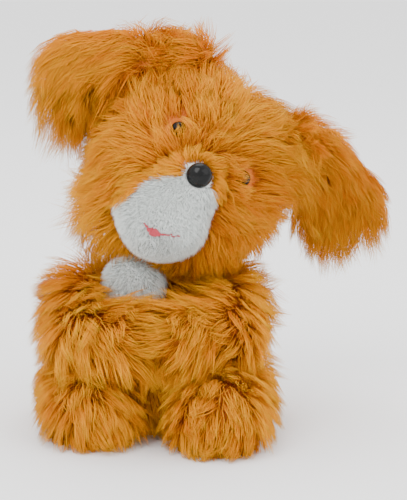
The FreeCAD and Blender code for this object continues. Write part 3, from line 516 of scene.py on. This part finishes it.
def strands(mesh, count, coat, comb, keep, seed, tone, reach):
    """Clumped strands over a mesh: their centre lines, widths and tones."""
    rng = np.random.default_rng(seed)
    roots, normals = scatter(mesh, count, keep, rng)
    guides, guide_normals = scatter(mesh, max(FEWEST_LOCKS, count // coat.lock_size), keep, rng)

    def lines(points, around, spread):
        flow = swirled(unit(comb(points, around)), around, points, coat.swirl * 2, SWIRL_SIZE, seed)
        flow = unit(flow) + rng.normal(0, spread, points.shape)
        length = coat.length * reach(points) * rng.uniform(*LENGTH_RANGE, len(points))
        bend = rng.uniform(*BEND_RANGE, len(points))
        return grow(points, around, flow, coat, length, bend, rng.normal(0, 1, len(points)))

    own = lines(roots, normals, coat.spread)
    lead = lines(guides, guide_normals, 2 * coat.spread)
    lock = nearest(roots, guides)
    loose = rng.random(count) < LOOSE_SHARE
    towards_lock = coat.clump * coat.rings ** 1.25
    pull = np.where(loose, LOOSE_PULL, 1.0)[:, None, None] * towards_lock[None, :, None]
    shorten = np.where(loose, LOOSE_LENGTH, 1.0) * rng.uniform(*LOCK_LENGTH_RANGE, count)
    path = own * (1 - pull) + lead[lock] * pull
    path = roots[:, None] + (path - roots[:, None]) * shorten[:, None, None]
    path = kept_in_room(path, rng.uniform(*EDGE_TRIM_RANGE, count))
    widths = coat.width * rng.uniform(*WIDTH_RANGE, count)
    lock_tone = rng.normal(0, LOCK_TONE, len(guides))[lock]
    patch_tone = PATCH_TONE * lumps(roots, PATCH_SIZE, seed + 5)
    tones = MIDDLE_TONE + patch_tone + lock_tone + rng.normal(0, STRAND_TONE, count) + tone(roots)
    return path, widths, np.clip(tones, 0.02, 0.98)


def strand_points(path, widths, rings):
    """The points of each strand: three round each ring but the last, and then its tip."""
    thinning, flatness = 0.75, 0.6
    tangent = unit(np.gradient(path, axis=1))
    upright = np.abs(tangent[..., 2:]) > 0.9
    side = unit(np.cross(tangent, np.where(upright, np.array([1.0, 0, 0]), UP)))
    other = np.cross(tangent, side)
    taper = 1 - rings[:-1] ** 2.2 * thinning
    reach = widths[:, None, None] / 2 * taper[None, :, None]
    corners = []
    for corner in range(3):
        angle = 2 * math.pi * corner / 3
        offset = side[:, :-1] * math.cos(angle) + other[:, :-1] * flatness * math.sin(angle)
        corners.append(path[:, :-1] + offset * reach)
    body = np.stack(corners, 2).reshape(len(path), -1, 3)
    return np.concatenate([body, path[:, -1:]], 1)


def strand_faces(stations):
    """The faces of one closed strand: quads up its three sides, three faces at the tip, one at the root."""
    faces = []
    for ring in range(stations - 2):
        for corner in range(3):
            low, high = 3 * ring + corner, 3 * ring + (corner + 1) % 3
            faces.append([low, high, high + 3, low + 3])
    last = 3 * (stations - 2)
    tip = last + 3
    for corner in range(3):
        faces.append([last + corner, last + (corner + 1) % 3, tip])
    faces.append([2, 1, 0])
    return faces


def strand_uvs(tones, rings):
    """U and V of each strand's points: U is its tone, and V runs from the root to the tip."""
    unevenness, margin = 0.004, 0.01
    along = np.append(np.repeat(rings[:-1], 3), 1.0)
    shift = np.append(np.tile([-unevenness, 0.0, unevenness], len(rings) - 1), 0.0)
    u = tones[:, None] * (1 - 2 * margin) + margin + shift[None]
    v = np.broadcast_to(along[None] * (1 - 2 * margin) + margin, u.shape)
    return np.stack([u, v], -1)


def strand_mesh(name, path, widths, tones, rings, material):
    """One mesh of closed three-sided tapering strands, coloured through its UV layer."""
    count = len(path)
    points = strand_points(path, widths, rings)
    per_strand = points.shape[1]
    faces = strand_faces(len(rings))
    pattern = np.concatenate([np.array(face) for face in faces])
    first_corners = np.concatenate([[0], np.cumsum([len(face) for face in faces])[:-1]])
    strand = np.arange(count)[:, None]
    mesh = bpy.data.meshes.new(name)
    mesh.vertices.add(count * per_strand)
    mesh.vertices.foreach_set("co", points.ravel())
    mesh.loops.add(count * len(pattern))
    mesh.loops.foreach_set("vertex_index", (pattern[None] + per_strand * strand).ravel())
    mesh.polygons.add(count * len(faces))
    mesh.polygons.foreach_set("loop_start", (first_corners[None] + len(pattern) * strand).ravel())
    mesh.polygons.foreach_set("use_smooth", np.ones(count * len(faces), bool))
    layer = mesh.uv_layers.new(name="OFBake")
    layer.data.foreach_set("uv", strand_uvs(tones, rings)[:, pattern].ravel())
    mesh.materials.append(material)
    mesh.update(calc_edges=True)
    return link(bpy.data.objects.new(name, mesh))


def no_tone(points):
    return np.zeros(len(points))


def times(factor):
    """The same length factor all over a skin."""
    return lambda points: factor * even(points)


def fur(name, body, skin, count, coat, comb, keep, seed, tone=no_tone, reach=even, pale=False):
    """A fur piece over a skin, riding on the skin's body."""
    path, widths, tones = strands(skin.data, count, coat, comb, keep, seed, tone, reach)
    obj = strand_mesh(name, path, widths, tones, coat.rings, PALE_FUR if pale else ORANGE_FUR)
    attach(obj, body)


def clear_of(*others, gap):
    """A rule that keeps fur off the places where other pieces touch the skin."""
    trees = [surface_tree(other) for other in others]

    def keep(points, normals):
        wanted = np.ones(len(points))
        for tree in trees:
            for index, place in enumerate(points):
                if tree.find_nearest(place, gap)[0] is not None:
                    wanted[index] = 0
        return wanted

    return keep


def open_air(skin, reach):
    """A rule that keeps fur off walls that face another wall of the same skin."""
    tree = surface_tree(skin)

    def keep(points, normals):
        hits = [tree.ray_cast(Vector(p + n * MM), Vector(n), reach)[0] for p, n in zip(points, normals)]
        return np.array([hit is None for hit in hits], float)

    return keep


def faces_out(middle):
    """A rule that keeps fur off walls that look inwards to the middle of a form."""

    def keep(points, normals):
        return (np.sum((points - middle) * normals, axis=1) > 0).astype(float)

    return keep


def both(*rules):
    """All the rules at once."""

    def keep(points, normals):
        wanted = np.ones(len(points))
        for rule in rules:
            wanted = wanted * rule(points, normals)
        return wanted

    return keep


# ---------------------------------------------------------------- pieces

def soft(skin, body, fill, slot, *nodes):
    """Hide the CAD nodes that a stuffed skin stands for, and attach the skin to the body that it moves with.
    """
    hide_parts(*nodes)
    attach(skin, body)


def in_head(points):
    """Side, back and up distances in the head's own axes, in millimetres from its centre."""
    away = (points - HEAD_CENTRE) / MM
    return away @ HEAD_SIDE, away @ HEAD_BACK, away @ HEAD_UP


def pale_depth(points):
    """How far inside the pale patch each point is, in millimetres: a wedge that widens below the nose.

    Each side of the wedge is two straight lines, a steep one by the nose and a flatter one below it.
    """
    side, _, up = in_head(points)
    left_by_nose = 5 + 0.8 * (9 - up)
    left_below = 16.6 + 0.30 * (-5 - up)
    right_by_nose = 11 + 0.62 * (11 - up)
    right_below = 24.5 + 0.05 * (-8 - up)
    left = side + np.minimum(left_by_nose, left_below)
    right = np.minimum(right_by_nose, right_below) - side
    top = 10 - up
    return np.minimum(np.minimum(left, right), top)


def make_muzzle():
    skin = sewn_form("muzzle_skin", ["muzzle", "mouth_felt"], PALE_BACKING, 6, 1.6 * MM)
    puff(skin, 0.6 * MM, 14 * MM, 3)
    soft(skin, "head", 0.9, "pale_plush", "muzzle")
    return skin


def from_nose(points, normals):
    """The lie of the muzzle's fur: away from the nose, and a little down."""
    return unit(points - NOSE) - 0.25 * UP[None]


def make_muzzle_pile(skin, mouth):
    nose = frame["nodes"]["nose"]
    rule = both(open_air(skin, 8 * MM), clear_of(nose, gap=0.8 * MM), clear_of(mouth, gap=0.6 * MM))

    def pale(points, normals):
        return rule(points, normals) * (pale_depth(points) > 0)

    def orange(points, normals):
        return rule(points, normals) * (pale_depth(points) <= 0)

    def longer_at_edge(points):
        """Longer within 6 mm of the patch's edge, and on the chin."""
        edge = np.clip(1 - pale_depth(points) / 6, 0, 1)
        chin = np.clip((-24 - in_head(points)[2]) / 12, 0, 1)
        return 1 + 0.9 * edge + 0.5 * chin

    fur("muzzle_pile", "head", skin, 19500, SHORT, from_nose, pale, 13, reach=longer_at_edge, pale=True)
    fur("muzzle_edge_fur", "head", skin, 3200, LONG, from_nose, orange, 14, reach=times(0.6))


def mouth_line(way):
    """Side and up of the smile in the head's axes, in millimetres, from its left end, 0, to its right, 1."""
    left, width = -8.2, 19.8
    left_up, rise, sag = -28.6, 4.6, 1.3
    dip = math.sin(math.pi * min(1.0, way * 1.25))
    return left + width * way, left_up + rise * way - sag * dip


def mouth_half_width(way):
    """A thin line with one lip-like swelling on its left half, in millimetres."""
    thin, swelling, swelling_at, swelling_spread = 0.42, 2.2, 0.36, 0.16
    return thin + swelling * math.exp(-((way - swelling_at) / swelling_spread) ** 2)


def make_mouth(skin):
    """A stitched smile that lies on the muzzle, thickest in its left half."""
    tree = surface_tree(skin)
    steps, around = 40, 10
    in_front, above_skin, thickness = 120, 3.0 * MM, 0.9 * MM
    vertices, faces = [], []
    for step in range(steps + 1):
        way = step / steps
        side, up = mouth_line(way)
        start = Vector(head_point(side, -in_front, up))
        place, normal, _, _ = tree.ray_cast(start, Vector(HEAD_BACK))
        middle = place + normal * above_skin
        half_width = Vector(HEAD_UP) * (mouth_half_width(way) * MM)
        for corner in range(around):
            angle = 2 * math.pi * corner / around
            vertices.append(middle + half_width * math.cos(angle) + normal * thickness * math.sin(angle))
    for step in range(steps):
        for corner in range(around):
            after = (corner + 1) % around
            near, far = step * around, (step + 1) * around
            faces.append((near + corner, near + after, far + after, far + corner))
    faces.append(tuple(range(around))[::-1])
    faces.append(tuple(steps * around + corner for corner in range(around)))
    obj = mesh_object("mouth_stitch", vertices, faces, PINK_SATIN)
    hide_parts("mouth_felt")
    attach(obj, "head")
    return obj


ROOT_POINTS = 200
EAR_LENGTH = 88 * MM


def hinge_of(name):
    """The axle of an ear: the middle of the points of its paddle's root end."""
    paddle = frame["nodes"][f"ear_{name}_paddle"]
    points = get_points(paddle.data)
    towards = unit(HEAD_CENTRE - points.mean(0))
    return points[(points @ towards).argsort()[-ROOT_POINTS:]].mean(0)


def fade(distance, full, gone):
    """1 up to the full distance, falling evenly to 0 at the gone distance."""
    return np.clip((gone - distance) / (gone - full), 0, 1)


def far_from(points, place):
    return np.linalg.norm(points - place, axis=1)


def make_head(muzzle):
    skin = sewn_form("head_skin", ["head_cover", "head_stuffing"], ORANGE_BACKING, 6)
    puff(skin, 1.2 * MM, 30 * MM, 1)
    soft(skin, "head", 0.9, "orange_plush", "head_cover", "head_stuffing")
    hinges = {name: hinge_of(name) for name in ("left", "right")}
    ears = {name: unit(centre(f"ear_{name}_cover") - hinges[name]) for name in hinges}
    feet = {name: HEAD_CENTRE + unit(hinges[name] - HEAD_CENTRE) * HEAD_RADIUS for name in hinges}
    eyes = ["eye_left", "eye_right"]
    crown_way = unit(HEAD_UP + 0.5 * HEAD_SIDE)

    def near_eye(points):
        away = np.minimum(*[far_from(points, centre(eye)) for eye in eyes])
        return fade(away, 3.6 * MM, 15.6 * MM)

    def near_ear(points, name):
        """1 round the foot of an ear's bracket, falling to 0 at 40 mm from it."""
        return fade(far_from(points, feet[name]), 8 * MM, 40 * MM)

    def comb(points, normals):
        """Away from the nose, backwards and down, and up along each ear near its foot."""
        flow = unit(points - NOSE) + 0.45 * HEAD_BACK[None] - 0.35 * UP[None]
        for name in hinges:
            along_ear = hinges[name] + 30 * MM * ears[name]
            flow = flow + 2.2 * near_ear(points, name)[:, None] * unit(along_ear - points)
        return flow

    def reach(points):
        """Longer round the ears' feet, on the crown and on the low left cheek, and short at the eyes."""
        cheek = np.clip((HEAD_CENTRE[0] - 12 * MM - points[:, 0]) / (28 * MM), 0, 1)
        cheek = cheek * np.clip((HEAD_CENTRE[2] + 8 * MM - points[:, 2]) / (22 * MM), 0, 1)
        crown = np.clip((points - HEAD_CENTRE) @ crown_way / HEAD_RADIUS * 2 - 1, 0, 1)
        ear_feet = near_ear(points, "left") + near_ear(points, "right")
        longer = 0.75 * ear_feet + 0.9 * cheek + 0.4 * crown
        return (1 + longer) * (1 - 0.7 * near_eye(points))

    def painted_shade_tone(points):
        """Painted shade: deeper orange on the underside of the head and round the foot of the left ear,
        where shade falls.
        """
        lower = np.clip((HEAD_CENTRE[2] - 20 * MM - points[:, 2]) / (30 * MM), 0, 1)
        return 0.15 * lower + 0.35 * near_ear(points, "left")

    def outer(points, normals):
        """Off the walls of the neck's hole."""
        return (far_from(points, HEAD_CENTRE) > 0.93 * HEAD_RADIUS).astype(float)

    eye_domes = [frame["nodes"][eye] for eye in eyes]
    rule = both(
        outer,
        open_air(skin, 25 * MM),
        clear_of(*eye_domes, gap=3.0 * MM),
        clear_of(muzzle, gap=1.2 * MM),
    )

    def front(points, normals):
        return rule(points, normals) * (points[:, 1] < HEAD_CENTRE[1])

    def rear(points, normals):
        return rule(points, normals) * (points[:, 1] >= HEAD_CENTRE[1])

    # Both halves of the head's fur carry painted shade on the underside and round the left ear's foot.
    fur("head_fur_front", "head", skin, 12000, LONG, comb, front, 11, painted_shade_tone, reach)
    fur("head_fur_back", "head", skin, 10000, LONG, comb, rear, 12, painted_shade_tone, reach)


def make_ear(name, seed):
    body = f"ear_{name}"
    skin = sewn_form(f"ear_{name}_skin", [f"ear_{name}_cover"], ORANGE_BACKING, 4, 1.8 * MM)
    puff(skin, 1.0 * MM, 18 * MM, seed)
    soft(skin, body, 0.5, "orange_plush", f"ear_{name}_cover")
    hinge = hinge_of(name)
    tip_way = unit(centre(f"ear_{name}_cover") - hinge)

    def along(points):
        """0 at the hinge and 1 at the tip."""
        return np.clip((points - hinge) @ tip_way / EAR_LENGTH, 0, 1)

    def comb(points, normals):
        """Towards the tip, but backwards over the hinge at the root, and off the edges."""
        way = along(points)[:, None]
        forward = np.clip((way - 0.22) * 5, -1, 1)
        middle = hinge + way * EAR_LENGTH * tip_way
        return forward * tip_way[None] + 0.7 * unit(points - middle) - (0.1 + 1.1 * way) * UP

    def painted_root_shade(points):
        """Painted shade: deeper orange at the root, by the head, fading to paler at the tip."""
        return 0.30 - 0.44 * along(points)

    def reach(points):
        """Longer towards the tip, most in the ear that lies flattest, so that its tip still hangs."""
        flat = 1 - abs(tip_way[2])
        return 1.0 + (0.4 + 0.85 * flat) * along(points)

    # The ear's fur carries painted shade at its root.
    fur(f"ear_{name}_fur", body, skin, 7500, EAR, comb, open_air(skin, 8 * MM), seed + 20, painted_root_shade, reach)
    make_ear_cuff(name, hinge, tip_way, seed)


def make_ear_cuff(name, hinge, tip_way, seed):
    """Long fur round the ear's bracket and the root of its paddle, so that the ear grows out of the head."""
    outward = unit(hinge - HEAD_CENTRE)

    def comb(points, normals):
        return tip_way[None] + 0.6 * outward[None] + 0.9 * normals

    def on_bracket(points, normals):
        """The part of this ear's bracket that stands out of the head."""
        outside = (points - HEAD_CENTRE) @ outward > 0.95 * HEAD_RADIUS
        return (far_from(points, hinge) < 26 * MM) * outside

    def at_root(points, normals):
        return (far_from(points, hinge) < 12 * MM).astype(float)

    # Painted shade: the fur round each ear's root is as deep orange as the ear's own shaded root.
    def cuff_painted_shade(points):
        return 0.3 * even(points)

    bracket, paddle = frame["nodes"]["ear_brackets"], frame["nodes"][f"ear_{name}_paddle"]
    fur(f"ear_{name}_cuff", "head", bracket, 2200, LONG, comb, on_bracket, seed + 50, cuff_painted_shade)
    fur(f"ear_{name}_root_fur", f"ear_{name}", paddle, 900, LONG, comb, at_root, seed + 60, cuff_painted_shade)


def above(height):
    """A rule that keeps fur off what is lower than a height, where the toy rests."""

    def keep(points, normals):
        return (points[:, 2] > height).astype(float)

    return keep


def make_torso():
    skin = sewn_form("torso_skin", ["torso_cover", "torso_stuffing"], ORANGE_BACKING, 6)
    puff(skin, 1.2 * MM, 30 * MM, 6)
    soft(skin, "torso", 0.9, "orange_plush", "torso_cover", "torso_stuffing")
    bib = make_bib()
    middle = centre("torso_cover")

    def comb(points, normals):
        """Down over the belly and the back, outwards and up round the shoulders."""
        outward = points - middle
        outward[:, 2] = 0
        shoulder = np.clip((points[:, 2] - 62 * MM) / (25 * MM), 0, 1)[:, None]
        return (0.4 + 1.2 * shoulder) * unit(outward) - (1.0 - 1.6 * shoulder) * UP[None]

    def reach(points):
        """Shorter near the floor."""
        return np.where(points[:, 2] < 18 * MM, 0.75, 1.25)

    rule = both(above(4 * MM), faces_out(middle), open_air(skin, 20 * MM), clear_of(bib, gap=1.0 * MM))
    fur("torso_fur", "torso", skin, 10500, LONG, comb, rule, 31, reach=reach)
    make_bib_pile(bib)
    make_tail()


def make_bib():
    """The pale chest patch, swollen by 2 mm of stuffing."""
    bib = sewn_form("bib_skin", ["chest_bib"], PALE_BACKING, 6, 1.8 * MM)
    set_points(bib.data, get_points(bib.data) + 2 * MM * get_normals(bib.data))
    soft(bib, "torso", 0.8, "pale_plush", "chest_bib")
    return bib


def make_bib_pile(bib):
    def down(points, normals):
        return 0.2 * normals - UP

    fur("bib_pile", "torso", bib, 9000, SHORT, down, open_air(bib, 8 * MM), 32, reach=times(1.6), pale=True)


def make_tail():
    tail = sewn_form("tail_skin", ["tail_stub"], ORANGE_BACKING, 4)
    soft(tail, "torso", 0.8, "orange_plush", "tail_stub")
    tip_way = unit(np.array([0, 1.0, 0.7]))

    def tailward(points, normals):
        return np.broadcast_to(tip_way, points.shape)

    fur("tail_fur", "torso", tail, 2200, LONG, tailward, open_air(tail, 10 * MM), 33)


def make_limb(name, count, seed, comb, reach):
    skin = sewn_form(f"{name}_skin", [f"{name}_cover", f"{name}_stuffing"], ORANGE_BACKING, 5)
    puff(skin, 1.0 * MM, 24 * MM, seed)
    soft(skin, name, 0.85, "orange_plush", f"{name}_cover", f"{name}_stuffing")

    rule = both(above(3 * MM), open_air(skin, 15 * MM))
    fur(f"{name}_fur", name, skin, count, LONG, comb, rule, seed + 40, reach=reach)


def towards_paw(side):
    """The lie of an arm's fur; side is -1 for the left arm and 1 for the right."""

    def comb(points, normals):
        """Out over the shoulder, then down and round to the paw."""
        front = np.clip((-points[:, 1] - 5 * MM) / (40 * MM), 0, 1)[:, None]
        inward = np.array([-side, -0.3, -0.9])
        outward = np.array([side * 0.9, -0.2, 0.3])
        return inward * front + outward * (1 - front)

    return comb


def towards_foot(points, normals):
    return np.broadcast_to(np.array([0.0, -0.8, -0.75]), points.shape)


def low_is_short(points):
    """Shorter towards the floor, which the feet rest on."""
    return np.clip(0.65 + points[:, 2] / (30 * MM), 0.7, 1.2)


def make_limbs():
    for side, hand in ((-1, "left"), (1, "right")):
        make_limb(f"arm_{hand}", 8000, 7 + side, towards_paw(side), times(1.3))
        make_limb(f"leg_{hand}", 8500, 9 + side, towards_foot, low_is_short)


def dome(name, node, material, body):
    """A smooth round button that fills the same box as a CAD one."""
    low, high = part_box(node)
    ball = bmesh.new()
    bmesh.ops.create_uvsphere(ball, u_segments=48, v_segments=24, radius=1.0)
    bmesh.ops.scale(ball, vec=(high - low) / 2, verts=ball.verts)
    bmesh.ops.translate(ball, vec=(low + high) / 2, verts=ball.verts)
    mesh = bpy.data.meshes.new(name)
    ball.to_mesh(mesh)
    ball.free()
    mesh.polygons.foreach_set("use_smooth", [True] * len(mesh.polygons))
    mesh.materials.append(material)
    obj = link(bpy.data.objects.new(name, mesh))
    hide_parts(node)
    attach(obj, body)


def dress_frame():
    """Better materials on every CAD node that stays as it is."""
    looks = {
        "moulded_plastic": plastic_material("ivory_plastic", (0.62, 0.58, 0.50), 0.45),
        "dark_plastic": plastic_material("dark_plastic", (0.02, 0.02, 0.022), 0.4),
        "gear_plastic": plastic_material("gear_plastic", (0.75, 0.73, 0.66), 0.3),
        "steel": metal_material("plain_steel", (0.55, 0.55, 0.56), 0.25),
        "motor_steel": metal_material("motor_steel", (0.45, 0.45, 0.47), 0.3),
        "board_green": board_material("board_green"),
        "cell_sleeve": plastic_material("cell_sleeve", (0.03, 0.035, 0.05), 0.2, gloss=0.5),
        "wire_red": plastic_material("wire_red", (0.5, 0.02, 0.015), 0.35),
        "black_gloss": BLACK_GLOSS,
        "stuffing": PALE_BACKING,
        "orange_plush": ORANGE_BACKING,
        "pale_plush": PALE_BACKING,
        "pink_felt": PINK_SATIN,
    }
    for part in frame["record"]["subparts"]:
        mesh = frame["nodes"][part["node"]].data
        mesh.materials.clear()
        mesh.materials.append(looks[part["material_slot"]])
    orange = plastic_material("orange_plastic", (0.60, 0.17, 0.004), 0.5)
    for node in ("ear_brackets", "ear_pins", "ear_left_paddle", "ear_right_paddle"):
        frame["nodes"][node].data.materials[0] = orange


# ---------------------------------------------------------------- camera, floor and light

CAMERA_ELEVATION = math.radians(12)
CAMERA_DISTANCE = 1.2
CAMERA_TARGET = Vector((0.0297, -0.030, 0.1108))
LIGHT_TARGET = Vector((0.03, -0.02, 0.12))
FLOOR_HALF = 3.0


def make_camera():
    """A long lens from in front and a little above."""
    away = Vector((0, -math.cos(CAMERA_ELEVATION), math.sin(CAMERA_ELEVATION)))
    camera = link(bpy.data.objects.new("camera", bpy.data.cameras.new("camera")))
    camera.location = CAMERA_TARGET + CAMERA_DISTANCE * away
    camera.rotation_euler = (-away).to_track_quat("-Z", "Y").to_euler()
    camera.data.lens = 144
    camera.data.sensor_width = 36
    bpy.context.scene.camera = camera


def make_floor():
    material = bpy.data.materials.new("pale_floor")
    material.use_nodes = True
    shader = material.node_tree.nodes["Principled BSDF"]
    shader.inputs["Base Color"].default_value = (0.9, 0.9, 0.9, 1)
    shader.inputs["Roughness"].default_value = 0.9
    corners = [(-1, -1), (1, -1), (1, 1), (-1, 1)]
    vertices = [(x * FLOOR_HALF, y * FLOOR_HALF, 0) for x, y in corners]
    mesh_object("floor", vertices, [(0, 1, 2, 3)], material)


def make_stage():
    make_floor()
    world = bpy.data.worlds.new("studio")
    world.use_nodes = True
    background = world.node_tree.nodes["Background"]
    background.inputs["Color"].default_value = (1, 1, 1, 1)
    background.inputs["Strength"].default_value = 2.0
    bpy.context.scene.world = world
    add_light("key", (-0.5, -1.0, 1.3), size=0.8, watts=15)
    add_light("fill", (0.9, -0.8, 0.7), size=1.0, watts=6)
    add_light("top", (0.1, 0.5, 1.4), size=0.9, watts=8)


def add_light(name, place, size, watts):
    lamp = bpy.data.lights.new(name, "AREA")
    lamp.size = size
    lamp.energy = watts
    holder = link(bpy.data.objects.new(name, lamp))
    holder.location = place
    aim = LIGHT_TARGET - Vector(place)
    holder.rotation_euler = aim.to_track_quat("-Z", "Y").to_euler()


make_camera()
make_stage()
dress_frame()
muzzle_skin = make_muzzle()
make_muzzle_pile(muzzle_skin, make_mouth(muzzle_skin))
make_head(muzzle_skin)
make_ear("left", 4)
make_ear("right", 5)
make_torso()
make_limbs()
dome("nose_button", "nose", BLACK_GLOSS, "head")
